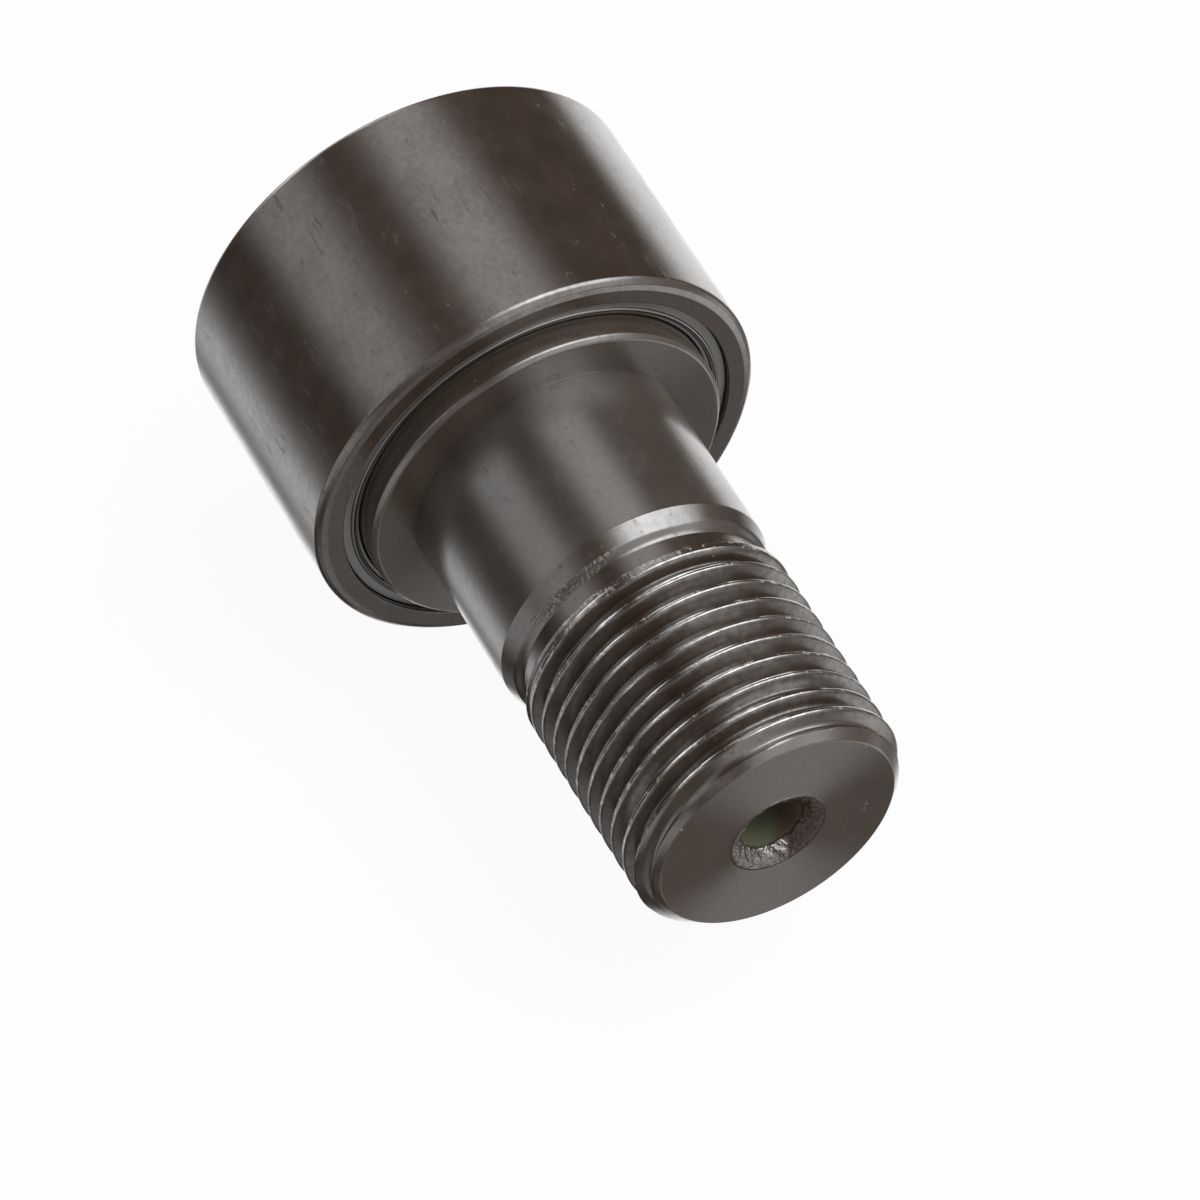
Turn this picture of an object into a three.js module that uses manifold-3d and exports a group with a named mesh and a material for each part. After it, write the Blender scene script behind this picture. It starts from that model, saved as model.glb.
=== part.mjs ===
// Stud-type track roller (heavy-stud cam follower), inch series.
// A thick outer ring runs on a full row of needle rollers around the headed end of a stud.
// The stud's shank fits a bore in the machine, and its threaded end takes a nut.
//
// Millimetres. The stud lies along X with its threaded end towards +X, and +Z is up.
// The origin is on the stud's centre line, halfway along the whole part.

import * as THREE from 'three';
import { mergeVertices } from 'three/addons/utils/BufferGeometryUtils.js';
import Module from 'manifold-3d';

const wasm = await Module();
wasm.setup();

// Driving dimensions
const INCH = 25.4;
const ROLLER_DIAMETER = 1.25 * INCH;
const ROLLER_WIDTH = 0.75 * INCH;
const STUD_DIAMETER = 0.75 * INCH;
const STUD_LENGTH = 1.25 * INCH; // from the end plate's face to the threaded end
const THREAD_PITCH = INCH / 16;
const THREAD_LENGTH = 0.64 * INCH; // from the threaded end to the last crest, at +Y
const NEEDLE_DIAMETER = 2.5;
const NEEDLE_COUNT = 28;
const PLATE_PROUD = 1.6; // the end plate stands this far out of the outer ring
const HEAD_PROUD = 0.4; // and the stud's head stands this far out on the other side

// Fits and running clearances
const RUNNING = 0.03; // between a needle roller and a raceway, on the radius
const SEAT_GAP = 0.04; // between the stud and the end plate that is pressed on it
const SIDE_PLAY = 0.1; // between a seal and the faces beside it
const EDGE = 0.4; // small broken edge on turned steel

// Places along X
const OVERALL = STUD_LENGTH + PLATE_PROUD + ROLLER_WIDTH + HEAD_PROUD;
const THREAD_END = OVERALL / 2;
const PLATE_FACE = THREAD_END - STUD_LENGTH;
const RING_NEAR = PLATE_FACE - PLATE_PROUD;
const RING_FAR = RING_NEAR - ROLLER_WIDTH;
const RING_MIDDLE = (RING_NEAR + RING_FAR) / 2;
const HEAD_FACE = -OVERALL / 2;

// The needle row and its raceways
const NEEDLE_RADIUS = NEEDLE_DIAMETER / 2;
const PITCH_RADIUS = 11.45;
const INNER_RACE = PITCH_RADIUS - NEEDLE_RADIUS - RUNNING;
const OUTER_RACE = PITCH_RADIUS + NEEDLE_RADIUS + RUNNING + 0.01;
const NEEDLE_LENGTH = 13.2;

// End plate, stud head and the seals around them
const FLANGE_RADIUS = 12.6; // end plate and stud head
const FLANGE_DEPTH = 1.8; // how far each reaches in from the outer ring's face
const PLATE_BORE = STUD_DIAMETER / 2 + 0.095;
const PLATE_BEVEL = 0.28; // around the end plate's outer face
const RECESS_RADIUS = 0.88 * ROLLER_DIAMETER / 2; // the outer ring's recess for a seal
const RECESS_DEPTH = 2.7;
const RING_EDGE = 0.43; // the outer ring's blunt edge: its length along the tread
const RING_EDGE_REACH = 0.75; // and its reach across the face
const SEAL_OUTER = RECESS_RADIUS - 0.05;
const SEAL_LIP_INNER = FLANGE_RADIUS + 0.33;
const SEAL_LIP_OUTER = SEAL_LIP_INNER + 0.53;
const SEAL_BORE = INNER_RACE + 0.3;
const SEAL_SUNK = 0.24; // the lip ends this far below the outer ring's face
const SEAL_DISC = 0.7; // thickness of the disc behind the flange
const SEAL_FOOT = 1.3; // how far the disc's outer rim lies below the outer ring's face

// Stud
const SHANK_RADIUS = STUD_DIAMETER / 2;
const THREAD_CREST = SHANK_RADIUS - 0.03;
const THREAD_ROOT = 8.55;
const CREST_WIDTH = 0.2;
const FLANK_SLOPE = Math.tan(Math.PI / 6);
const SHANK_END = THREAD_END - 19.65; // the plain shank's end, where the relief begins
const RELIEF_END = THREAD_END - 17;
const END_CHAMFER = 1.25;
const OIL_MOUTH = 3.38;
const OIL_BORE = 2.15;
const OIL_SINK = 0.9; // depth of the rounded mouth of the oil hole
const CROSS_BORE = 1;
const SOCKET_FLATS = INCH * 5 / 16; // hexagon socket in the head, across flats
const SOCKET_DEPTH = 4.5;

// Facets
const FULL_TURN = 2 * Math.PI;
const RING_SEGMENTS = 72;
const STUD_SEGMENTS = 48;
const HOLE_SEGMENTS = 24;
const NEEDLE_SEGMENTS = 12;

// Finishes
const blackOxide = new THREE.MeshStandardMaterial({ color: 0x3b3531, roughness: 0.42, metalness: 0.85 });
const groundBlack = new THREE.MeshStandardMaterial({ color: 0x46403b, roughness: 0.3, metalness: 0.9 });
const sealBlack = new THREE.MeshStandardMaterial({ color: 0x17171a, roughness: 0.4, metalness: 0 });
const brightSteel = new THREE.MeshStandardMaterial({ color: 0xb9bcc0, roughness: 0.18, metalness: 1 });

// A closed geometry turned about X from an outline of [place along X, radius] points.
// The outline runs so that its outer side goes towards +X.
function turned(outline, segments) {
  const points = outline.map(([along, radius]) => new THREE.Vector2(radius, along));
  const geometry = new THREE.LatheGeometry(points, segments);
  geometry.rotateZ(-Math.PI / 2);
  return geometry;
}

// An outline that runs back to its own start, for a ring.
function closed(outline) {
  return [...outline, outline[0]];
}

// The same outline on the other side of the plane x = middle, still turned outwards.
function mirrored(outline, middle) {
  return outline.map(([along, radius]) => [2 * middle - along, radius]).reverse();
}

function solid(geometry) {
  const bare = geometry.clone();
  bare.deleteAttribute('normal');
  bare.deleteAttribute('uv');
  const merged = mergeVertices(bare, 1e-5);
  const corners = merged.index.array;
  const faces = [];
  for (let i = 0; i < corners.length; i += 3) {
    const [a, b, c] = corners.slice(i, i + 3);
    if (a !== b && b !== c && c !== a) {
      faces.push(a, b, c);
    }
  }
  return new wasm.Manifold(new wasm.Mesh({
    numProp: 3,
    vertProperties: new Float32Array(merged.attributes.position.array),
    triVerts: new Uint32Array(faces),
  }));
}

function geometryOf(body) {
  const { vertProperties, triVerts } = body.getMesh();
  const geometry = new THREE.BufferGeometry();
  geometry.setAttribute('position', new THREE.BufferAttribute(vertProperties, 3));
  geometry.setIndex(new THREE.BufferAttribute(triVerts, 1));
  geometry.computeVertexNormals();
  return geometry;
}

// The thread's ridge: a trapezoid carried along a right-hand helix about X.
// It rises out of the core over a quarter turn and runs on beyond the threaded end.
function threadRidge() {
  const overrun = 2;
  const fade = STUD_SEGMENTS / 4;
  const steps = fade + Math.round((THREAD_LENGTH / THREAD_PITCH + overrun) * STUD_SEGMENTS);
  const footRadius = THREAD_ROOT - 0.25;
  const positions = [];
  for (let i = 0; i <= steps; i += 1) {
    const turns = (i - fade) / STUD_SEGMENTS;
    const angle = turns * FULL_TURN;
    const height = Math.min(1, i / fade);
    const crest = THREAD_ROOT - 0.1 + (THREAD_CREST - THREAD_ROOT + 0.1) * height;
    const middle = THREAD_END - THREAD_LENGTH + turns * THREAD_PITCH;
    const crestHalf = CREST_WIDTH / 2;
    const footHalf = crestHalf + (THREAD_CREST - footRadius) * FLANK_SLOPE;
    const section = [
      [middle - footHalf, footRadius],
      [middle - crestHalf, crest],
      [middle + crestHalf, crest],
      [middle + footHalf, footRadius],
    ];
    for (const [along, radius] of section) {
      positions.push(along, radius * Math.cos(angle), radius * Math.sin(angle));
    }
  }
  const faces = [0, 1, 2, 0, 2, 3];
  for (let i = 0; i < steps; i += 1) {
    for (let side = 0; side < 4; side += 1) {
      const a = 4 * i + side;
      const b = 4 * i + (side + 1) % 4;
      faces.push(a, a + 4, b, b, a + 4, b + 4);
    }
  }
  const last = 4 * steps;
  faces.push(last, last + 2, last + 1, last, last + 3, last + 2);
  const geometry = new THREE.BufferGeometry();
  geometry.setAttribute('position', new THREE.Float32BufferAttribute(positions, 3));
  geometry.setIndex(faces);
  return geometry;
}

// Head, inner raceway, end plate seat, plain shank, relief and thread core.
function studBlank() {
  const headBack = RING_FAR + FLANGE_DEPTH;
  const shoulder = RING_NEAR - FLANGE_DEPTH - SEAT_GAP;
  const seatEnd = PLATE_FACE - EDGE;
  return turned([
    [HEAD_FACE, 0],
    [HEAD_FACE, FLANGE_RADIUS - EDGE],
    [HEAD_FACE + EDGE, FLANGE_RADIUS],
    [headBack, FLANGE_RADIUS],
    [headBack, INNER_RACE],
    [shoulder, INNER_RACE],
    [shoulder, PLATE_BORE - SEAT_GAP],
    [seatEnd, PLATE_BORE - SEAT_GAP],
    [seatEnd + 0.05, SHANK_RADIUS],
    [SHANK_END, SHANK_RADIUS],
    [SHANK_END + 1.65, SHANK_RADIUS - 0.5],
    [RELIEF_END, THREAD_ROOT],
    [THREAD_END + 1, THREAD_ROOT],
    [THREAD_END + 1, 0],
  ], STUD_SEGMENTS);
}

// What the lathe takes off the threaded end: the face and its 45 degree chamfer.
function endCutter() {
  const rim = THREAD_CREST - END_CHAMFER;
  const reach = END_CHAMFER + 1;
  const beyond = THREAD_END + 5;
  return turned([
    [THREAD_END, 0],
    [THREAD_END, rim],
    [THREAD_END - reach, rim + reach],
    [beyond, rim + reach],
    [beyond, 0],
  ], STUD_SEGMENTS);
}

// The axial oil hole, with its opened mouth and its drill point behind the raceway's middle.
function oilHole() {
  const bottom = RING_MIDDLE - 2;
  return turned([
    [bottom - OIL_BORE * FLANK_SLOPE, 0],
    [bottom, OIL_BORE],
    [THREAD_END - OIL_SINK, OIL_BORE],
    [THREAD_END, OIL_MOUTH],
    [THREAD_END + 1, OIL_MOUTH + 1],
    [THREAD_END + 1, 0],
  ], HOLE_SEGMENTS);
}

// The hole that leads the grease up from the axial hole to the needle row.
function crossHole() {
  const length = INNER_RACE + 1;
  const geometry = new THREE.CylinderGeometry(CROSS_BORE, CROSS_BORE, length, HOLE_SEGMENTS / 2);
  geometry.rotateX(Math.PI / 2);
  geometry.translate(RING_MIDDLE, 0, length / 2);
  return geometry;
}

function hexSocket() {
  const corner = SOCKET_FLATS / Math.sqrt(3);
  const length = SOCKET_DEPTH + 1;
  const geometry = new THREE.CylinderGeometry(corner, corner, length, 6);
  geometry.rotateZ(Math.PI / 2);
  geometry.translate(HEAD_FACE + SOCKET_DEPTH - length / 2, 0, 0);
  return geometry;
}

function stud() {
  const body = solid(studBlank())
    .add(solid(threadRidge()))
    .subtract(solid(endCutter()))
    .subtract(solid(oilHole()))
    .subtract(solid(crossHole()))
    .subtract(solid(hexSocket()));
  return geometryOf(body);
}

// The washer pressed on the stud that closes the needle row on the stud side.
function endPlate() {
  const inner = RING_NEAR - FLANGE_DEPTH;
  return turned(closed([
    [inner, PLATE_BORE],
    [inner, FLANGE_RADIUS - EDGE],
    [inner + EDGE, FLANGE_RADIUS],
    [PLATE_FACE - PLATE_BEVEL, FLANGE_RADIUS],
    [PLATE_FACE, FLANGE_RADIUS - PLATE_BEVEL],
    [PLATE_FACE, PLATE_BORE + 0.15],
    [PLATE_FACE - 0.15, PLATE_BORE],
  ]), RING_SEGMENTS);
}

// The roller's outer ring: its raceway in the middle and a recess for a seal at each side.
function outerRing() {
  const rim = ROLLER_DIAMETER / 2;
  const nearHalf = [
    [RING_NEAR - RING_EDGE, rim],
    [RING_NEAR - RING_EDGE / 3, rim - RING_EDGE_REACH / 2],
    [RING_NEAR, rim - RING_EDGE_REACH],
    [RING_NEAR, RECESS_RADIUS + 0.2],
    [RING_NEAR - 0.2, RECESS_RADIUS],
    [RING_NEAR - RECESS_DEPTH, RECESS_RADIUS],
    [RING_NEAR - RECESS_DEPTH, OUTER_RACE],
  ];
  return turned(closed([...nearHalf, ...mirrored(nearHalf, RING_MIDDLE)]), RING_SEGMENTS);
}

// Seal: a disc that runs between the flange and the needle ends, its rim held in the outer
// ring's recess, and a rounded lip that stands up around the flange.
function sealOutline() {
  const flangeBack = RING_NEAR - FLANGE_DEPTH;
  const discFront = flangeBack - SIDE_PLAY;
  const lipFront = RING_NEAR - SEAL_SUNK;
  const round = 0.2;
  return closed([
    [discFront - SEAL_DISC, SEAL_BORE],
    [discFront - SEAL_DISC, SEAL_OUTER],
    [RING_NEAR - SEAL_FOOT, SEAL_OUTER],
    [RING_NEAR - SEAL_FOOT, SEAL_LIP_OUTER],
    [lipFront - round, SEAL_LIP_OUTER],
    [lipFront, SEAL_LIP_OUTER - round],
    [lipFront, SEAL_LIP_INNER + round],
    [lipFront - round, SEAL_LIP_INNER],
    [discFront, SEAL_LIP_INNER],
    [discFront, SEAL_BORE],
  ]);
}

function needle() {
  const half = NEEDLE_LENGTH / 2;
  const round = 0.3;
  return turned([
    [-half, 0],
    [-half, NEEDLE_RADIUS - round],
    [-half + round, NEEDLE_RADIUS],
    [half - round, NEEDLE_RADIUS],
    [half, NEEDLE_RADIUS - round],
    [half, 0],
  ], NEEDLE_SEGMENTS);
}

const group = new THREE.Group();

function place(name, geometry, material, parent = group) {
  const mesh = new THREE.Mesh(geometry, material);
  mesh.name = name;
  parent.add(mesh);
  return mesh;
}

place('stud', stud(), blackOxide);
place('end_plate', endPlate(), blackOxide);
place('outer_ring', outerRing(), groundBlack);
place('seal_stud_side', turned(sealOutline(), RING_SEGMENTS), sealBlack);
place('seal_head_side', turned(mirrored(sealOutline(), RING_MIDDLE), RING_SEGMENTS), sealBlack);

// The needle rollers fill the row side by side, with no cage between them.
const needleGeometry = needle();
const needleRow = new THREE.Group();
needleRow.position.x = RING_MIDDLE;
group.add(needleRow);
for (let i = 0; i < NEEDLE_COUNT; i += 1) {
  const angle = i / NEEDLE_COUNT * FULL_TURN;
  const name = `needle_${String(i + 1).padStart(2, '0')}`;
  const roller = place(name, needleGeometry, brightSteel, needleRow);
  roller.position.set(0, PITCH_RADIUS * Math.cos(angle), PITCH_RADIUS * Math.sin(angle));
  roller.rotation.x = angle;
}

export default group;
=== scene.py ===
# Stud-type track roller: fine surfaces, materials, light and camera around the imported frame.
# The stud lies along X with its threaded end towards +X, and +Z is up. Lengths here are in
# millimetres, and turn into the frame's metres where a mesh or a camera is made.

import math

import bpy
import numpy as np
from mathutils import Matrix, Vector


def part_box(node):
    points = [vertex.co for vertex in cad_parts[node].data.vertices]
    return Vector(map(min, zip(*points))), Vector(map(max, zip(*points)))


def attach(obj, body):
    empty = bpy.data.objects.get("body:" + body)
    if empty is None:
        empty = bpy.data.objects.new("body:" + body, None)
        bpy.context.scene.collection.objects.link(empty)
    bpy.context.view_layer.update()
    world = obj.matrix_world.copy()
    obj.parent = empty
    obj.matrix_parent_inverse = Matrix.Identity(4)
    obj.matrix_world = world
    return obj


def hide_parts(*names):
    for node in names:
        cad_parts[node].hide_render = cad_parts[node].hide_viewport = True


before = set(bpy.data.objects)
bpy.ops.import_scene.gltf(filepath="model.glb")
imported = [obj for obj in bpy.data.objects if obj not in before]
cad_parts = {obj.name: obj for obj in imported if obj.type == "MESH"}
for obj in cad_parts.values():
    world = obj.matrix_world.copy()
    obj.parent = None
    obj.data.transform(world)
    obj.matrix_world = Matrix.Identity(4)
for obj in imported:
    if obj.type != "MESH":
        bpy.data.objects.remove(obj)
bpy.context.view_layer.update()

MM = 0.001
TURN = 2 * math.pi
HALF_FORM = math.radians(30)  # half of the thread's 60 degree form, and the drill point's slope

# ---------------------------------------------------------------------------------------------
# Sizes. The frame gives the outside of every part, and these name what lies between.

stud_low, stud_high = (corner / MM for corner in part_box("stud"))
ring_low, ring_high = (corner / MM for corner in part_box("outer_ring"))
plate_low, plate_high = (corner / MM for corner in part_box("end_plate"))
seal_low, seal_high = (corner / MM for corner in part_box("seal_stud_side"))
needle_low, needle_high = (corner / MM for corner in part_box("needle_01"))

HEAD_FACE = stud_low.x
THREAD_END = stud_high.x
FLANGE_RADIUS = stud_high.z
RING_FAR = ring_low.x
RING_NEAR = ring_high.x
RING_RADIUS = ring_high.z
RING_MIDDLE = (RING_FAR + RING_NEAR) / 2
PLATE_BACK = plate_low.x
PLATE_FACE = plate_high.x
SEAL_BACK = seal_low.x
SEAL_FRONT = seal_high.x
SEAL_RADIUS = seal_high.z
NEEDLE_RADIUS = (needle_high.y - needle_low.y) / 2
NEEDLE_HALF = (needle_high.x - needle_low.x) / 2
PITCH_RADIUS = (needle_high.y + needle_low.y) / 2
NEEDLE_COUNT = sum(name.startswith("needle_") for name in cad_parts)

INCH = 25.4
RUNNING = 0.03  # clearance between the rollers and each raceway
INNER_RACE = PITCH_RADIUS - NEEDLE_RADIUS - RUNNING
OUTER_RACE = PITCH_RADIUS + NEEDLE_RADIUS + RUNNING
RECESS_RADIUS = SEAL_RADIUS + 0.05  # the recess in the outer ring that holds the seal
RECESS_DEPTH = RING_NEAR - SEAL_BACK + 0.1
FLANGE_DEPTH = RING_NEAR - PLATE_BACK  # how far the end plate and the head reach into the ring

RING_EDGE = 0.43  # length of the outer ring's blunt edge along the tread
RING_EDGE_REACH = 0.75  # and its reach across the face
PLATE_BEVEL = 0.28
SEAL_LIP_INNER = FLANGE_RADIUS + 0.33
SEAL_LIP_OUTER = SEAL_LIP_INNER + 0.38
SEAL_FOOT = RING_NEAR - 0.42  # the seal's face beside its lip

SHANK_RADIUS = 0.375 * INCH
PLATE_BORE = SHANK_RADIUS + 0.095
SEAT_RADIUS = PLATE_BORE - 0.005  # the part of the stud that the end plate sits on
PITCH = INCH / 16
THREAD_LENGTH = 0.64 * INCH
THREAD_CREST = SHANK_RADIUS - 0.03
THREAD_ROOT = 8.55
CREST_HALF = 0.13  # half the width of the crest's flat
CREST_ROUGHNESS = 0.003
ROLLED_OVER = 0.11  # rounding of the crest's edge towards the thread's end,
ROLLED_BACK = 0.04  # and of its other edge
ROOT_ROUNDING = 0.08
FOLD_HALF = 0.06  # half the width of the fold along the crest
TORN_SIDE = math.radians(85)  # where round the stud the fold on the crest is torn open
END_RIM = THREAD_CREST - 1.25  # radius of the end face, inside its chamfer
SHANK_END = THREAD_END - 19.65
CONE_END = THREAD_END - 18.55
CONE_SLOPE = 0.34
NECK_RADIUS = 8.65
CONE_FADE = 0.65  # length over which the cone goes down into the neck
THREAD_START = THREAD_END - THREAD_LENGTH
THREAD_RISE = 1.1  # length over which the thread's grooves reach their full depth
WALL_FOOT = THREAD_START - 0.38  # where the steep wall up to the thread's start leaves the neck
WALL_SLOPE = 2.2
BURR = 0.025
HELIX_START = THREAD_START + 1.7  # the rows of the mesh follow the helix from here
HELIX_END = THREAD_END - 4.2  # to here
OIL_MOUTH = 3.38  # radius of the rough, sunk mouth of the oil hole
OIL_BORE = 2.15
OIL_SINK = 0.9  # depth of the mouth
SOCKET_APOTHEM = 5 / 32 * INCH
SOCKET_DEPTH = 4.5

# Fine mesh
STUD_COLUMNS = 288
RING_COLUMNS = 288
NEEDLE_COLUMNS = 40
# Rows of the thread in each turn, in pitches from the crest: closest on the crest, where the fold is
CREST_ROWS = (
    -0.43, -0.25, -0.12, -0.1, -0.085, -0.07, -0.055, -0.04, -0.025, -0.01,
    0.01, 0.04, 0.07, 0.1, 0.13, 0.17, 0.42, 0.5,
)
ARC_STEPS = 5  # in each rounded corner
HOLD = 0.05  # a row this far beyond a rounding keeps the flat beside it flat
SHARP = math.radians(50)  # an edge that turns more than this is shaded as sharp

random = np.random.default_rng(16)


# ---------------------------------------------------------------------------------------------
# Mesh tools

def angles(columns):
    return np.arange(columns) / columns * TURN


def smoothstep(value, low, high):
    share = np.clip((value - low) / (high - low), 0, 1)
    return share * share * (3 - 2 * share)


def soft_min(a, b, width):
    """The lower of a and b, rounded over where they cross."""
    share = np.clip(0.5 + 0.5 * (b - a) / width, 0, 1)
    return b + (a - b) * share - width * share * (1 - share)


def soft_max(a, b, width):
    return -soft_min(-a, -b, width)


def unit(vector):
    return vector / np.linalg.norm(vector)


def rounded(outline, closed=False):
    """Rows (x, radius) along an outline of corners (x, radius, rounding), with arcs at the corners."""
    corners = [np.array(corner[:2], float) for corner in outline]
    rows = []
    for i, corner in enumerate(corners):
        rounding = outline[i][2]
        at_end = not closed and i in (0, len(outline) - 1)
        if rounding == 0 or at_end:
            rows.append(corner)
            continue
        before = unit(corners[i - 1] - corner)
        after = unit(corners[(i + 1) % len(corners)] - corner)
        half = math.acos(np.clip(before @ after, -1, 1)) / 2
        reach = rounding / math.tan(half)
        centre = corner + unit(before + after) * rounding / math.sin(half)
        start = corner + before * reach - centre
        end = corner + after * reach - centre
        first = math.atan2(start[1], start[0])
        sweep = math.remainder(math.atan2(end[1], end[0]) - first, TURN)
        rows.append(corner + before * (reach + HOLD))
        for step in range(ARC_STEPS + 1):
            angle = first + sweep * step / ARC_STEPS
            rows.append(centre + rounding * np.array([math.cos(angle), math.sin(angle)]))
        rows.append(corner + after * (reach + HOLD))
    return rows


def revolved(name, rows, columns, closed=False):
    """A mesh turned about X from rows (x, radius). Either may hold one value per column.
    An open outline starts and ends on the axis. Its outer side runs towards +X."""
    phi = angles(columns)
    x = np.array([np.broadcast_to(row[0], columns) for row in rows])
    radius = np.array([np.broadcast_to(row[1], columns) for row in rows])
    places = np.stack([x, radius * np.cos(phi), radius * np.sin(phi)], axis=-1) * MM
    ring = np.arange(columns)
    following = (ring + 1) % columns
    faces = []
    if closed:
        vertices = places.reshape(-1, 3)
        starts = np.arange(len(rows)) * columns
        pairs = list(zip(starts, np.roll(starts, -1)))
    else:
        inner = places[1:-1]
        poles = places[[0, -1], 0]
        vertices = np.concatenate([inner.reshape(-1, 3), poles])
        starts = np.arange(len(rows) - 2) * columns
        pairs = list(zip(starts[:-1], starts[1:]))
        first_pole = len(vertices) - 2
        last = starts[-1]
        for j in range(columns):
            faces.append((first_pole, int(following[j]), j))
            faces.append((int(last + j), int(last + following[j]), first_pole + 1))
    for a, b in pairs:
        faces += np.stack([a + ring, a + following, b + following, b + ring], axis=1).tolist()
    mesh = bpy.data.meshes.new(name)
    mesh.from_pydata(vertices.tolist(), [], faces)
    mesh.validate()
    mesh.shade_smooth()
    mesh.set_sharp_from_angle(angle=SHARP)
    return mesh


def piece(name, mesh, material, body, node):
    """A shown piece that stands for one CAD node and rides on that node's body."""
    thing = bpy.data.objects.new(name, mesh)
    bpy.context.scene.collection.objects.link(thing)
    if not mesh.materials:
        mesh.materials.append(material)
    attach(thing, body)
    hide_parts(node)
    return thing


# ---------------------------------------------------------------------------------------------
# The stud: one surface from the hexagon socket to the bottom of the oil hole

def socket_rows():
    """The hexagon socket, from its drill point to the head's face."""
    phi = angles(STUD_COLUMNS)
    sixth = TURN / 6
    hexagon = SOCKET_APOTHEM / np.cos((phi + sixth / 2) % sixth - sixth / 2)
    mouth = SOCKET_APOTHEM / math.cos(sixth / 2) * 1.05
    floor = HEAD_FACE + SOCKET_DEPTH
    rows = [
        (floor + 1.4, 0),
        (floor + 0.15, hexagon * 0.9),
        (floor, hexagon - 0.06),
        (floor, hexagon),
    ]
    for lift in (0.06, 1.2, 2.4, 3.4):
        rows.append((floor - lift, hexagon))
    for deep in (0.75, 0.6, 0.45, 0.3, 0.15, 0.04):
        rows.append((HEAD_FACE + deep, np.maximum(hexagon, mouth - deep)))
    rows.append((HEAD_FACE, mouth))
    return rows


def head_and_shank_rows():
    """From the head's face over the raceway, the seat of the end plate and the shank to the relief."""
    head_back = RING_FAR + FLANGE_DEPTH
    shoulder = PLATE_BACK - 0.04
    seat_end = PLATE_FACE - 0.01
    return rounded([
        (HEAD_FACE, 5.2, 0),
        (HEAD_FACE, FLANGE_RADIUS, 0.45),
        (head_back, FLANGE_RADIUS, 0.2),
        (head_back, INNER_RACE, 0.08),
        (shoulder, INNER_RACE, 0.12),
        (shoulder, SEAT_RADIUS, 0.05),
        (seat_end, SEAT_RADIUS, 0),
        (seat_end, SHANK_RADIUS, 0),
        (seat_end + 0.03, SHANK_RADIUS, 0),
        (SHANK_END, SHANK_RADIUS, 0.06),
        (CONE_END - 0.1, relief_radius(CONE_END - 0.1), 0),
    ])


def relief_radius(x):
    """The relief between shank and thread: a shallow cone that goes softly down into the neck."""
    cone = SHANK_RADIUS - CONE_SLOPE * (x - SHANK_END)
    return cone + (NECK_RADIUS - cone) * smoothstep(x, CONE_END, CONE_END + CONE_FADE)


def helix_noise(widths):
    """Smooth noise along the thread's crest, one value per column, over more turns than there are."""
    count = 16 * STUD_COLUMNS
    total = np.zeros(count)
    for width, strength in widths:
        last = 3 * int(width + 0.5)
        reach = np.arange(-last, last + 1)
        kernel = np.exp(-0.5 * (reach / width) ** 2)
        kernel = kernel / np.sqrt((kernel ** 2).sum())
        total += strength * np.convolve(random.standard_normal(count), kernel, "same")
    return total


crest_height = helix_noise([(9, 1.0)])
crest_seam = helix_noise([(3, 0.7), (30, 1.0)])
seam_wander = helix_noise([(5, 1.0)])
edge_burr = helix_noise([(1.5, 1.0)])[:STUD_COLUMNS]


def thread_radius(x):
    """The right-hand thread's surface at one row of places along X, one per column."""
    phi = angles(STUD_COLUMNS)
    turn = (x - THREAD_START) / PITCH - phi / TURN
    crest = np.round(turn)
    offset = (turn - crest) * PITCH
    place = ((crest + 3) * STUD_COLUMNS + np.arange(STUD_COLUMNS)).astype(int)
    height = THREAD_CREST - CREST_ROUGHNESS * np.clip(crest_height[place], -1.5, 2.5) - 0.005
    flank = height - (np.abs(offset) - CREST_HALF) / math.tan(HALF_FORM)
    rolled = np.where(offset > 0, ROLLED_OVER, ROLLED_BACK)
    form = soft_max(soft_min(flank, height, rolled), THREAD_ROOT, ROOT_ROUNDING)
    torn = smoothstep(np.cos(phi - TORN_SIDE), 0.35, 0.8)
    wander = 0.02 + torn * (0.06 + 0.03 * seam_wander[place])
    groove = np.exp(-((offset + wander) / FOLD_HALF) ** 2)
    form = form - groove * (0.025 + 0.04 * torn * smoothstep(crest_seam[place], -0.5, 1.5))
    return height + (form - height) * smoothstep(x, THREAD_START, THREAD_START + THREAD_RISE)


def thread_wall(x):
    """The steep wall that rises from the neck to where the thread starts, with a burr on its edge."""
    return NECK_RADIUS + WALL_SLOPE * (x - WALL_FOOT + BURR * edge_burr)


def thread_rows():
    """Rows that follow the helix where the thread is full, and lie square at both of its ends."""
    phi = angles(STUD_COLUMNS)
    seam = 0.75 * TURN  # the rows step back by one pitch here, on the underside
    way_round = (phi - seam) % TURN / TURN
    skew = (way_round - smoothstep(way_round, 11 / 12, 1)) * PITCH
    skew = skew - skew.mean()
    facing = STUD_COLUMNS * 3 // 10
    level = phi[facing] / TURN - skew[facing] / PITCH  # puts a crest on the row at offset 0
    places = list(np.arange(CONE_END, THREAD_START - 0.45, 0.07))
    places += list(np.arange(THREAD_START - 0.42, HELIX_START, 0.035))
    for k in range(-2, 12):
        for offset in CREST_ROWS:
            place = THREAD_START + (k + offset + level) * PITCH
            if HELIX_START < place < HELIX_END:
                places.append(place)
    places += list(np.linspace(HELIX_END, THREAD_END - 0.02, 56))
    rows = []
    for place in places:
        at_start = smoothstep(place, THREAD_START + 0.1, HELIX_START + 0.7)
        at_end = smoothstep(place, HELIX_END, THREAD_END - 0.3)
        x = place + skew * at_start * (1 - at_end)
        threaded = soft_min(thread_radius(x), thread_wall(x), 0.03)
        radius = soft_max(threaded, relief_radius(x), 0.12)
        radius = soft_min(radius, END_RIM + THREAD_END - x, 0.04)
        rows.append((x, radius))
    return rows


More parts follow.
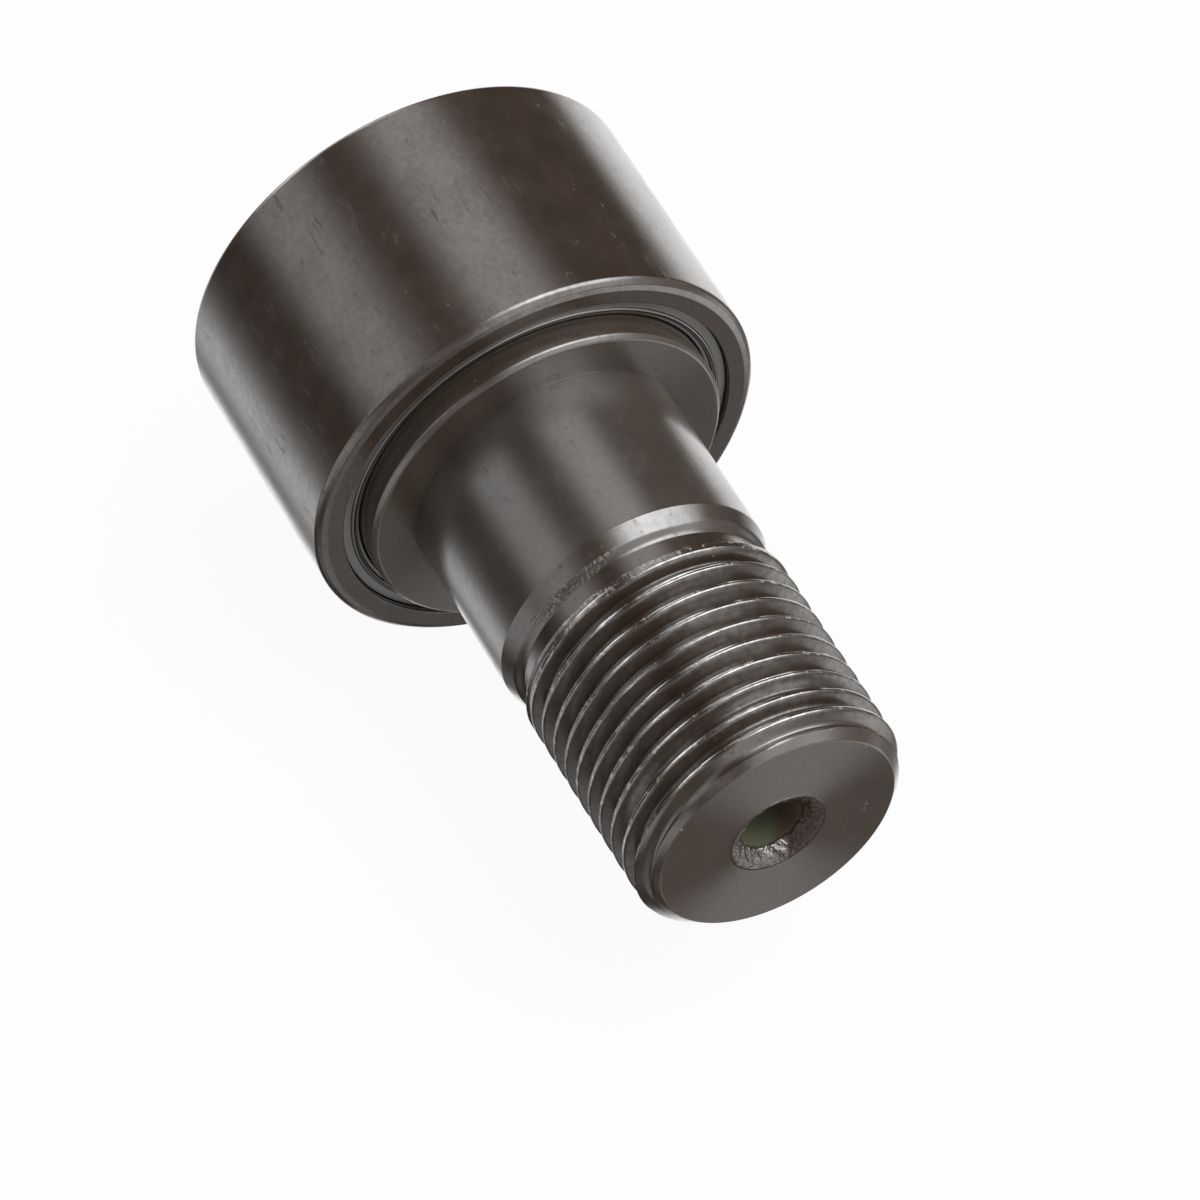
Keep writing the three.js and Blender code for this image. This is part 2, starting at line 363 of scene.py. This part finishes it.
def end_rows():
    """The end face, the rough sunk mouth of the oil hole, and its bore down to the drill point."""
    phi = angles(STUD_COLUMNS)
    rows = [(THREAD_END, radius) for radius in (END_RIM - 0.03, END_RIM - 0.1, 6, OIL_MOUTH + 0.2)]
    waves = 8
    swing_size, swing_turn, ripple_size, ripple_turn = random.standard_normal((4, waves))
    for share in np.linspace(0, 1, 13):
        swing = 0
        ripple = 0
        for n in range(waves):
            swing = swing + swing_size[n] * np.cos((n + 2) * phi + 3 * swing_turn[n])
            ripple = ripple + ripple_size[n] * np.cos((2 * n + 11) * phi + 5 * ripple_turn[n] + 9 * share)
        roughness = share * (1.15 - share)
        radius = OIL_MOUTH - (OIL_MOUTH - OIL_BORE) * share ** 0.8
        radius = radius + roughness * (0.05 * swing + 0.03 * ripple)
        rows.append((THREAD_END - OIL_SINK * share ** 1.6, radius))
    bottom = RING_MIDDLE - 2
    bore_start = THREAD_END - OIL_SINK
    for share in (0.004, 0.02, 0.08, 0.25, 0.5, 0.75, 0.98, 1):
        rows.append((bore_start + (bottom - bore_start) * share, OIL_BORE))
    rows.append((bottom - OIL_BORE * math.tan(HALF_FORM), 0))
    return rows


def stud_mesh():
    rows = socket_rows() + head_and_shank_rows() + thread_rows() + end_rows()
    return revolved("fine_stud", rows, STUD_COLUMNS)


# ---------------------------------------------------------------------------------------------
# The turned rings and the rollers

def end_plate_mesh():
    outline = [
        (PLATE_BACK, PLATE_BORE, 0.08),
        (PLATE_BACK, FLANGE_RADIUS, 0.3),
        (PLATE_FACE - PLATE_BEVEL, FLANGE_RADIUS, 0.22),
        (PLATE_FACE, FLANGE_RADIUS - PLATE_BEVEL, 0.25),
        (PLATE_FACE, PLATE_BORE, 0.01),
    ]
    return revolved("fine_end_plate", rounded(outline, closed=True), RING_COLUMNS, closed=True)


def mirrored(outline):
    return [(2 * RING_MIDDLE - x, radius, rounding) for x, radius, rounding in reversed(outline)]


def outer_ring_mesh():
    half = [
        (RING_NEAR - RING_EDGE, RING_RADIUS, 0.4),
        (RING_NEAR - RING_EDGE / 3, RING_RADIUS - RING_EDGE_REACH / 2, 0.3),
        (RING_NEAR, RING_RADIUS - RING_EDGE_REACH, 0.04),
        (RING_NEAR, RECESS_RADIUS + 0.08, 0.05),
        (RING_NEAR - 0.08, RECESS_RADIUS, 0.05),
        (RING_NEAR - RECESS_DEPTH, RECESS_RADIUS, 0.15),
        (RING_NEAR - RECESS_DEPTH, OUTER_RACE, 0.2),
    ]
    rows = rounded(half + mirrored(half), closed=True)
    return revolved("fine_outer_ring", rows, RING_COLUMNS, closed=True)


def seal_outline():
    disc_front = SEAL_BACK + 0.7
    bore = INNER_RACE + 0.3
    shelf = SEAL_FRONT - 0.2
    shelf_bore = FLANGE_RADIUS + 0.09
    return [
        (SEAL_BACK, bore, 0.1),
        (SEAL_BACK, SEAL_RADIUS, 0.15),
        (SEAL_FOOT, SEAL_RADIUS, 0.03),
        (SEAL_FOOT, SEAL_LIP_OUTER, 0.05),
        (SEAL_FRONT, SEAL_LIP_OUTER, 0.18),
        (SEAL_FRONT, SEAL_LIP_INNER, 0.18),
        (shelf, SEAL_LIP_INNER, 0.04),
        (shelf, shelf_bore, 0.06),
        (disc_front, shelf_bore, 0.1),
        (disc_front, bore, 0.1),
    ]


def seal_mesh(name, outline):
    return revolved(name, rounded(outline, closed=True), RING_COLUMNS, closed=True)


def needle_mesh():
    outline = [
        (-NEEDLE_HALF, 0, 0),
        (-NEEDLE_HALF, NEEDLE_RADIUS, 0.5),
        (NEEDLE_HALF, NEEDLE_RADIUS, 0.5),
        (NEEDLE_HALF, 0, 0),
    ]
    return revolved("fine_needle", rounded(outline), NEEDLE_COLUMNS)


# ---------------------------------------------------------------------------------------------
# Material tools

class Graph:
    """A node tree written step by step: each call adds one node and gives its output."""

    def __init__(self, tree):
        self.tree = tree
        tree.nodes.clear()

    def feed(self, socket, value):
        if isinstance(value, bpy.types.NodeSocket):
            self.tree.links.new(value, socket)
        else:
            socket.default_value = value

    def node(self, kind, inputs=None, **settings):
        node = self.tree.nodes.new(kind)
        for name, value in settings.items():
            setattr(node, name, value)
        for name, value in (inputs or {}).items():
            self.feed(node.inputs[name], value)
        return node

    def math(self, operation, *values):
        node = self.node("ShaderNodeMath", operation=operation)
        for socket, value in zip(node.inputs, values):
            self.feed(socket, value)
        return node.outputs[0]

    def total(self, *values):
        result = values[0]
        for value in values[1:]:
            result = self.math("ADD", result, value)
        return result

    def times(self, *values):
        result = values[0]
        for value in values[1:]:
            result = self.math("MULTIPLY", result, value)
        return result

    def vector_math(self, operation, a, b):
        node = self.node("ShaderNodeVectorMath", operation=operation)
        self.feed(node.inputs[0], a)
        self.feed(node.inputs[1], b)
        return node.outputs["Value" if operation == "DOT_PRODUCT" else "Vector"]

    def ramp(self, value, low, high, to_low=0.0, to_high=1.0):
        """Goes smoothly from to_low to to_high as value goes from low to high, and stays there beyond."""
        settings = {
            "Value": value,
            "From Min": low,
            "From Max": high,
            "To Min": to_low,
            "To Max": to_high,
        }
        return self.node("ShaderNodeMapRange", settings, interpolation_type="SMOOTHSTEP").outputs[0]

    def noise(self, vector, scale, detail=2.0, roughness=0.5):
        settings = {"Vector": vector, "Scale": scale, "Detail": detail, "Roughness": roughness}
        return self.node("ShaderNodeTexNoise", settings).outputs[0]

    def mix(self, share, a, b):
        node = self.node("ShaderNodeMix", data_type="RGBA")
        self.feed(node.inputs["Factor"], share)
        self.feed(node.inputs[6], a)
        self.feed(node.inputs[7], b)
        return node.outputs[2]

    def bump(self, height, depth, normal=None):
        """Height from 0 to 1 stands depth millimetres high."""
        settings = {"Height": height, "Distance": depth * MM, "Strength": 1.0}
        if normal is not None:
            settings["Normal"] = normal
        return self.node("ShaderNodeBump", settings).outputs[0]


def new_material(name):
    material = bpy.data.materials.new(name)
    material.use_nodes = True
    return material, Graph(material.node_tree)


def places_on(graph):
    """Where a point lies on its part, in millimetres: the vector, its X, and its distance from X."""
    found = graph.node("ShaderNodeTexCoord").outputs["Object"]
    place = graph.vector_math("MULTIPLY", found, (1 / MM, 1 / MM, 1 / MM))
    parts = graph.node("ShaderNodeSeparateXYZ", {"Vector": place}).outputs
    squares = graph.total(graph.times(parts[1], parts[1]), graph.times(parts[2], parts[2]))
    return place, parts[0], graph.math("SQRT", squares)


def stretched(graph, place, x, y, z):
    return graph.vector_math("MULTIPLY", place, (x, y, z))


def finish(graph, settings):
    shader = graph.node("ShaderNodeBsdfPrincipled", settings)
    output = graph.node("ShaderNodeOutputMaterial")
    graph.tree.links.new(shader.outputs[0], output.inputs["Surface"])


OXIDE_DARK = (0.027, 0.017, 0.0105, 1)
OXIDE_LIGHT = (0.034, 0.0225, 0.015, 1)
PLATE_DARK = (0.036, 0.026, 0.018, 1)
PLATE_LIGHT = (0.044, 0.033, 0.024, 1)
HAZE = (0.060, 0.052, 0.045, 1)
BARE_STEEL = (0.42, 0.40, 0.37, 1)
# the oil film in the bore, painted lit and olive on one side and shaded brown on the other
OIL_FILM_PAINTED_LIT = (0.12, 0.13, 0.085, 1)
OIL_FILM_PAINTED_SHADE = (0.10, 0.070, 0.050, 1)
SEAL_DARK = (0.045, 0.036, 0.028, 1)
SEAL_LIGHT = (0.060, 0.050, 0.042, 1)
ROLLER_STEEL = (0.56, 0.56, 0.57, 1)
GREASED_STEEL = (0.50, 0.46, 0.38, 1)
FILM_INDEX = 2.2  # refractive index of the oxide and of the oily polymer

# Directions in the part's own X, Y and Z
PAINTED_GLINT_ACROSS = (0, 0.193, 0.981)  # across the turned faces, where the painted glint makes them shine most
SHADED_SIDE = (0.454, 0.891, 0)  # across the oil hole, towards its side painted as shaded: brown and duller
ROUGH_SIDE = (0, -0.613, 0.789)  # round the stud, where the end of the relief's cone is rough


def scratches(graph, place, turned, scale, amount):
    """Short bright nicks: thin slivers of a stretched noise, kept only where a second noise peaks."""
    settings = {"Vector": place, "Angle": turned}
    rotated = graph.node("ShaderNodeVectorRotate", settings, rotation_type="X_AXIS").outputs[0]
    slivers = graph.noise(stretched(graph, rotated, 0.8, 7, 1.4), scale, 1.0, 0.5)
    thin = graph.ramp(graph.math("ABSOLUTE", graph.math("SUBTRACT", slivers, 0.5)), 0.012, 0.004)
    where = graph.ramp(graph.noise(place, 0.75, 3.0, 0.6), amount, amount + 0.02)
    return graph.times(thin, where)


def oxide_steel(name, dark, light, plain_roughness, clouding, streaking, painted_face_sheen, details=None):
    """Black oxide on machined steel: a dark brown film with a neutral, slightly cloudy sheen.
    The face sheen is the weakest and the strongest shine of the faces that look along X: a painted glint,
    brightest in two opposite sectors fixed on the part."""
    material, graph = new_material(name)
    place, along, away = places_on(graph)
    clouds = graph.noise(place, 0.35, 5.0, 0.62)
    fine = graph.noise(place, 2.2, 4.0, 0.6)
    streaks = graph.noise(stretched(graph, place, 0.15, 1, 1), 2.3, 5.0, 0.68)
    stains = graph.times(graph.ramp(streaks, 0.585, 0.65), graph.ramp(clouds, 0.42, 0.58))
    colour = graph.mix(graph.ramp(clouds, 0.35, 0.7), dark, light)
    fine_nicks = scratches(graph, place, 0.4, 0.9, 0.70)
    finest_nicks = scratches(graph, place, -0.7, 1.3, 0.74)
    nicks = graph.math("MAXIMUM", fine_nicks, finest_nicks)
    colour = graph.mix(graph.times(nicks, 0.8), colour, BARE_STEEL)
    roughness = graph.total(
        plain_roughness,
        graph.ramp(clouds, 0.3, 0.7, -0.02, 0.03),
        graph.ramp(fine, 0.35, 0.7, -0.02, 0.02),
        graph.times(stains, 0.08),
    )
    mottling = graph.total(graph.times(clouds, 0.5), graph.times(fine, 0.5))
    cloudy = graph.ramp(mottling, 0.38, 0.62, clouding, -clouding)
    sheen = graph.times(
        graph.total(0.5, cloudy),
        graph.ramp(stains, 0, 1, 1.0, 1.0 - streaking),
        painted_turned_glint(graph, place, away, *painted_face_sheen),
    )
    normal = graph.bump(fine, 0.005)
    normal = graph.bump(stains, -0.006 * streaking, normal)
    settings = {
        "Base Color": colour,
        "Roughness": roughness,
        "IOR": FILM_INDEX,
        "Specular IOR Level": sheen,
        "Normal": normal,
    }
    if details is not None:
        details(graph, place, along, away, settings)
    finish(graph, settings)
    return material


def painted_turned_glint(graph, place, away, dull, bright):
    """How strongly a surface shines: 1 on its round sides, and on the faces that look along X from
    dull to bright in two opposite sectors fixed on the part: a painted glint that stands for the shine of
    the lathe's fine circles."""
    normal = graph.node("ShaderNodeTexCoord").outputs["Normal"]
    facing = graph.math("ABSOLUTE", graph.node("ShaderNodeSeparateXYZ", {"Vector": normal}).outputs[0])
    across = graph.math("DIVIDE", graph.vector_math("DOT_PRODUCT", place, PAINTED_GLINT_ACROSS), away)
    circles = graph.node("ShaderNodeCombineXYZ", {"X": graph.times(away, 5.0)})
    uneven = graph.ramp(graph.noise(circles.outputs[0], 1.0, 2.0, 0.5), 0.3, 0.7, 0.93, 1.07)
    # painted glint: more shine in two opposite sectors fixed on the turned faces
    sector = graph.times(graph.ramp(graph.times(across, across), 0.1, 1.0, dull, bright), uneven)
    flat = graph.ramp(facing, 0.97, 0.995)
    return graph.total(graph.math("SUBTRACT", 1.0, flat), graph.times(flat, sector))


def scale_shine(graph, settings, *factors):
    settings["Specular IOR Level"] = graph.times(settings["Specular IOR Level"], *factors)


def hazy_shank(graph, along, settings):
    """A faint pale haze from the head to the end of the shank."""
    on_shank = graph.ramp(along, SHANK_END + 0.2, SHANK_END - 0.2, 0.0, 0.5)
    settings["Base Color"] = graph.mix(on_shank, settings["Base Color"], HAZE)


def thread_wear_glints_and_shade(graph, place, along, away, settings):
    """Crests rubbed bright in dashes, partly real wear and partly painted glints, and flanks a little
    grimy, with painted shade that dulls them towards the root.
    """
    in_thread = graph.times(
        graph.ramp(along, THREAD_START - 0.1, THREAD_START),
        graph.ramp(along, THREAD_END - 1.1, THREAD_END - 1.5),
    )
    high = graph.times(in_thread, graph.ramp(away, THREAD_CREST - 0.07, THREAD_CREST - 0.02))
    # painted shade: less shine deep in the thread, towards the root
    deep = graph.times(in_thread, graph.ramp(away, THREAD_ROOT + 0.5, THREAD_ROOT + 0.1))
    # bright bare dashes on the crests: partly wear, partly painted glints
    crest_wear_and_glints = graph.ramp(graph.noise(place, 1.3, 5.0, 0.7), 0.54, 0.62)
    grimy = graph.ramp(graph.noise(place, 1.7, 4.0, 0.65), 0.38, 0.62, 0.75, 1.15)
    settings["Base Color"] = graph.mix(graph.times(high, crest_wear_and_glints, 0.55), settings["Base Color"], BARE_STEEL)
    settings["Roughness"] = graph.ramp(high, 0, 1, settings["Roughness"], 0.13)
    scale_shine(
        graph,
        settings,
        graph.ramp(high, 0, 1, 1.0, 1.7),
        graph.ramp(deep, 0, 1, 1.0, 0.6),
        graph.ramp(in_thread, 0, 1, 1.0, grimy),
    )


def rough_patch(graph, place, along, settings):
    """A grainy patch where the relief's cone ends, on one side only."""
    by_neck = graph.times(
        graph.ramp(along, CONE_END - 0.1, CONE_END + 0.1),
        graph.ramp(along, CONE_END + 0.7, CONE_END + 0.5),
    )
    sideways = graph.vector_math("DOT_PRODUCT", place, ROUGH_SIDE)
    rough = graph.times(by_neck, graph.ramp(sideways, 8.1, 8.7))
    grains = graph.noise(place, 5.0, 2.0, 0.6)
    bare = graph.times(rough, graph.ramp(grains, 0.5, 0.65), 0.3)
    settings["Base Color"] = graph.mix(bare, settings["Base Color"], BARE_STEEL)
    settings["Normal"] = graph.bump(graph.times(grains, rough), 0.07, settings["Normal"])


def oily_hole(graph, place, along, away, settings):
    """The oil hole: a lumpy glossy mouth, and a film of oil in the bore with painted light and shade: olive
    and lit on one side, brown, shaded and duller on the other.
    """
    in_hole = graph.times(
        graph.ramp(away, OIL_MOUTH + 0.02, OIL_MOUTH - 0.1),
        graph.ramp(along, THREAD_END - 8, THREAD_END - 6),
    )
    bore = graph.ramp(along, THREAD_END - OIL_SINK * 0.8, THREAD_END - OIL_SINK * 1.1)
    mouth = graph.times(in_hole, graph.math("SUBTRACT", 1.0, bore))
    across = graph.vector_math("DOT_PRODUCT", place, SHADED_SIDE)
    sideways = graph.math("SUBTRACT", across, SHADED_SIDE[0] * THREAD_END)
    # painted light and shade: olive on the lit side of the bore, brown on the shaded side
    film = graph.mix(graph.ramp(sideways, -0.6, 0.6), OIL_FILM_PAINTED_LIT, OIL_FILM_PAINTED_SHADE)
    shaded = graph.times(in_hole, graph.ramp(sideways, 0.5, 0.8))
    lumps = graph.noise(place, 2.6, 2.0, 0.5)
    settings["Base Color"] = graph.mix(graph.times(in_hole, bore), settings["Base Color"], film)
    settings["Normal"] = graph.bump(graph.times(lumps, mouth), 0.2, settings["Normal"])
    settings["Roughness"] = graph.ramp(mouth, 0, 1, settings["Roughness"], 0.14)
    scale_shine(graph, settings, graph.ramp(shaded, 0, 1, 1.0, 0.35))


def stud_details(graph, place, along, away, settings):
    hazy_shank(graph, along, settings)
    thread_wear_glints_and_shade(graph, place, along, away, settings)
    rough_patch(graph, place, along, settings)
    oily_hole(graph, place, along, away, settings)


def seal_polymer():
    """Moulded black polymer with a faint grain and a slightly oily gloss."""
    material, graph = new_material("seal_polymer")
    place = places_on(graph)[0]
    grain = graph.noise(place, 9.0, 3.0, 0.6)
    smear = graph.noise(place, 0.6, 3.0, 0.6)
    finish(graph, {
        "Base Color": graph.mix(smear, SEAL_DARK, SEAL_LIGHT),
        "Roughness": graph.ramp(smear, 0.3, 0.7, 0.32, 0.42),
        "IOR": FILM_INDEX,
        "Specular IOR Level": 0.6,
        "Normal": graph.bump(grain, 0.004),
    })
    return material


def needle_steel():
    """Bright ground steel with fine lines round each roller and a film of grease."""
    material, graph = new_material("needle_steel")
    place = places_on(graph)[0]
    lines = graph.noise(stretched(graph, place, 14, 0.6, 0.6), 1.0, 2.0, 0.6)
    film = graph.noise(place, 0.8, 3.0, 0.6)
    finish(graph, {
        "Base Color": graph.mix(film, ROLLER_STEEL, GREASED_STEEL),
        "Metallic": 1.0,
        "Roughness": graph.ramp(film, 0.3, 0.7, 0.14, 0.3),
        "Normal": graph.bump(lines, 0.002),
    })
    return material


# ---------------------------------------------------------------------------------------------
# Camera, light and floor

CAMERA_AZIMUTH = math.radians(63.00)
CAMERA_ELEVATION = math.radians(52.58)
LENS = 223.43
SENSOR = 36
END_RIGHT = 11.125  # the threaded end's centre lies this far right of the camera's axis,
END_DOWN = 14.54  # this far below it,
END_AWAY = 465.1  # and this far in front of the camera

camera_right = Vector((math.cos(CAMERA_AZIMUTH), math.sin(CAMERA_AZIMUTH), 0))
camera_back = Vector((
    math.sin(CAMERA_AZIMUTH) * math.cos(CAMERA_ELEVATION),
    -math.cos(CAMERA_AZIMUTH) * math.cos(CAMERA_ELEVATION),
    math.sin(CAMERA_ELEVATION),
))
camera_up = camera_back.cross(camera_right)


def add_camera():
    data = bpy.data.cameras.new("camera")
    data.lens = LENS
    data.sensor_width = SENSOR
    data.clip_start = 0.01
    data.clip_end = 100
    camera = bpy.data.objects.new("camera", data)
    bpy.context.scene.collection.objects.link(camera)
    end_centre = Vector((THREAD_END, 0, 0))
    place = end_centre - END_RIGHT * camera_right + END_DOWN * camera_up + END_AWAY * camera_back
    turned = Matrix((camera_right, camera_up, camera_back)).transposed().to_4x4()
    camera.matrix_world = Matrix.Translation(place * MM) @ turned
    bpy.context.scene.camera = camera


# Long soft lights all round the stud. A direction is measured by its angle round X, in degrees from
# the camera's side, and by its X, from -1 straight behind the head to 1 straight beyond the thread.
# Each light lies half on either side of its middle angle, with edges that fade over soft on both
# sides of that. Along X it fades in from one value of from_x to the other, and out over to_x.
HEAD_SIDE = (-1.3, -1.2)  # no fading at that end
THREAD_SIDE = (1.2, 1.3)
LIGHTS = [
    # low on the left
    {"middle": -123, "half": 13, "soft": 10, "strength": 1.0, "from_x": HEAD_SIDE, "to_x": (-0.45, -0.25)},
    {"middle": -131, "half": 35, "soft": 12, "strength": 0.32, "from_x": HEAD_SIDE, "to_x": (-0.45, -0.25)},
    {"middle": -84, "half": 21, "soft": 12, "strength": 0.75, "from_x": (-0.4, -0.15), "to_x": (0.7, 1.0)},
    # over the left of the part, brightest behind the head
    {"middle": -38, "half": 18, "soft": 12, "strength": 0.75, "from_x": HEAD_SIDE, "to_x": (0.1, 0.4)},
    {"middle": -38, "half": 18, "soft": 12, "strength": 3.4, "from_x": (-0.65, -0.85), "to_x": THREAD_SIDE},
    {"middle": -26, "half": 18, "soft": 12, "strength": 0.4, "from_x": (0.0, 0.3), "to_x": THREAD_SIDE},
    # over the right, bright behind the head and brightest beside the stud
    {"middle": 32, "half": 18, "soft": 12, "strength": 1.0, "from_x": HEAD_SIDE, "to_x": THREAD_SIDE},
    {"middle": 32, "half": 22, "soft": 13, "strength": 2.0, "from_x": (-0.7, -0.9), "to_x": THREAD_SIDE},
    {"middle": 51, "half": 27, "soft": 14, "strength": 4.2, "from_x": (-0.4, -0.08), "to_x": (0.45, 0.75)},
    {"middle": 72, "half": 30, "soft": 14, "strength": 1.0, "from_x": (0.4, 0.7), "to_x": THREAD_SIDE},
    {"middle": 98, "half": 24, "soft": 12, "strength": 0.32, "from_x": (-0.3, 0.0), "to_x": THREAD_SIDE},
    # the bright wall on the far right, and the paper beyond the threaded end
    {"middle": 141, "half": 17, "soft": 10, "strength": 1.65, "from_x": HEAD_SIDE, "to_x": (-0.45, -0.25)},
    {"middle": 147, "half": 18, "soft": 10, "strength": 0.25, "from_x": (-0.45, -0.25), "to_x": (0.1, 0.3)},
    {"middle": 145, "half": 14, "soft": 10, "strength": 0.9, "from_x": (0.1, 0.3), "to_x": THREAD_SIDE},
    {"middle": 180, "half": 50, "soft": 15, "strength": 0.4, "from_x": (0.1, 0.3), "to_x": THREAD_SIDE},
    # the backdrop behind the roller
    {"middle": 181, "half": 22, "soft": 9, "strength": 1.4, "from_x": HEAD_SIDE, "to_x": (-0.3, 0.0)},
]
DIM = 0.04  # light from everywhere else
PAPER = (0.98, 0.98, 0.98, 1)
FLOOR_SEEN = 0.945  # the floor's own light as the camera sees it,
FLOOR_GLOW = 1.6  # and as it lights the part
FLOOR_HALF = 20  # metres, far out of the picture


def long_light(graph, round_x, along, light):
    half, soft = light["half"], light["soft"]
    turned = graph.math("WRAP", graph.math("SUBTRACT", round_x, light["middle"]), 180.0, -180.0)
    across = graph.ramp(graph.math("ABSOLUTE", turned), half + soft, half - soft)
    start = graph.ramp(along, *light["from_x"])
    end = graph.ramp(along, light["to_x"][1], light["to_x"][0])
    return graph.times(across, start, end, float(light["strength"]))


def add_world():
    """Soft lights all round, which the camera itself sees as plain pale paper."""
    world = bpy.data.worlds.new("studio")
    world.use_nodes = True
    bpy.context.scene.world = world
    graph = Graph(world.node_tree)
    direction = graph.node("ShaderNodeTexCoord").outputs["Generated"]
    stud_axis = Vector((1, 0, 0))
    facing = (camera_back - stud_axis * camera_back.dot(stud_axis)).normalized()
    across = facing.cross(stud_axis)
    along = graph.vector_math("DOT_PRODUCT", direction, tuple(stud_axis))
    towards = graph.vector_math("DOT_PRODUCT", direction, tuple(facing))
    sideways = graph.vector_math("DOT_PRODUCT", direction, tuple(across))
    round_x = graph.math("DEGREES", graph.math("ARCTAN2", sideways, towards))
    glow = graph.total(DIM, *(long_light(graph, round_x, along, light) for light in LIGHTS))
    lit = graph.node("ShaderNodeBackground", {"Color": (1, 1, 1, 1), "Strength": glow})
    paper = graph.node("ShaderNodeBackground", {"Color": PAPER, "Strength": 1.0})
    seen = graph.node("ShaderNodeLightPath").outputs["Is Camera Ray"]
    both = graph.node("ShaderNodeMixShader")
    graph.feed(both.inputs[0], seen)
    graph.feed(both.inputs[1], lit.outputs[0])
    graph.feed(both.inputs[2], paper.outputs[0])
    output = graph.node("ShaderNodeOutputWorld")
    graph.feed(output.inputs["Surface"], both.outputs[0])


def add_floor():
    """A pale floor just under the outer ring, bright enough to leave hardly any shadow."""
    half = FLOOR_HALF
    level = -RING_RADIUS * MM
    mesh = bpy.data.meshes.new("floor")
    corners = [(-half, -half, level), (half, -half, level), (half, half, level), (-half, half, level)]
    mesh.from_pydata(corners, [], [(0, 1, 2, 3)])
    material, graph = new_material("floor_paper")
    dull = graph.node("ShaderNodeBsdfDiffuse", {"Color": (0.03, 0.03, 0.03, 1)})
    lighting_the_part = graph.node("ShaderNodeLightPath").outputs["Is Diffuse Ray"]
    glow = graph.ramp(lighting_the_part, 0, 1, FLOOR_SEEN, FLOOR_GLOW)
    bright = graph.node("ShaderNodeEmission", {"Color": (1, 1, 1, 1), "Strength": glow})
    both = graph.node("ShaderNodeAddShader")
    graph.feed(both.inputs[0], dull.outputs[0])
    graph.feed(both.inputs[1], bright.outputs[0])
    output = graph.node("ShaderNodeOutputMaterial")
    graph.feed(output.inputs["Surface"], both.outputs[0])
    mesh.materials.append(material)
    floor = bpy.data.objects.new("floor", mesh)
    bpy.context.scene.collection.objects.link(floor)
    floor.visible_glossy = False


# ---------------------------------------------------------------------------------------------
# The whole part

turned_black = oxide_steel(
    "stud_black_oxide",
    OXIDE_DARK,
    OXIDE_LIGHT,
    plain_roughness=0.21,
    clouding=0.04,
    streaking=0.3,
    painted_face_sheen=(0.2, 1.6),
    details=stud_details,
)
plate_black = oxide_steel(
    "plate_black_oxide",
    PLATE_DARK,
    PLATE_LIGHT,
    plain_roughness=0.23,
    clouding=0.06,
    streaking=0.3,
    painted_face_sheen=(0.3, 1.1),
)
ground_black = oxide_steel(
    "ring_black_oxide",
    OXIDE_DARK,
    OXIDE_LIGHT,
    plain_roughness=0.20,
    clouding=0.08,
    streaking=0.5,
    painted_face_sheen=(0.45, 0.45),
)
polymer = seal_polymer()
bright_steel = needle_steel()

piece("fine_stud", stud_mesh(), turned_black, "stud_assembly", "stud")
piece("fine_end_plate", end_plate_mesh(), plate_black, "stud_assembly", "end_plate")
piece("fine_outer_ring", outer_ring_mesh(), ground_black, "roller", "outer_ring")
stud_side = seal_mesh("fine_seal_stud_side", seal_outline())
head_side = seal_mesh("fine_seal_head_side", mirrored(seal_outline()))
piece("fine_seal_stud_side", stud_side, polymer, "roller", "seal_stud_side")
piece("fine_seal_head_side", head_side, polymer, "roller", "seal_head_side")

roller_mesh = needle_mesh()
for i in range(NEEDLE_COUNT):
    node = f"needle_{i + 1:02d}"
    body = "needle_row" if i == 0 else node + "_body"
    roller = piece("fine_" + node, roller_mesh, bright_steel, body, node)
    angle = i / NEEDLE_COUNT * TURN
    sideways = PITCH_RADIUS * math.cos(angle)
    up = PITCH_RADIUS * math.sin(angle)
    roller.location = Vector((RING_MIDDLE, sideways, up)) * MM

add_camera()
add_world()
add_floor()
bpy.context.scene.view_settings.view_transform = "Standard"
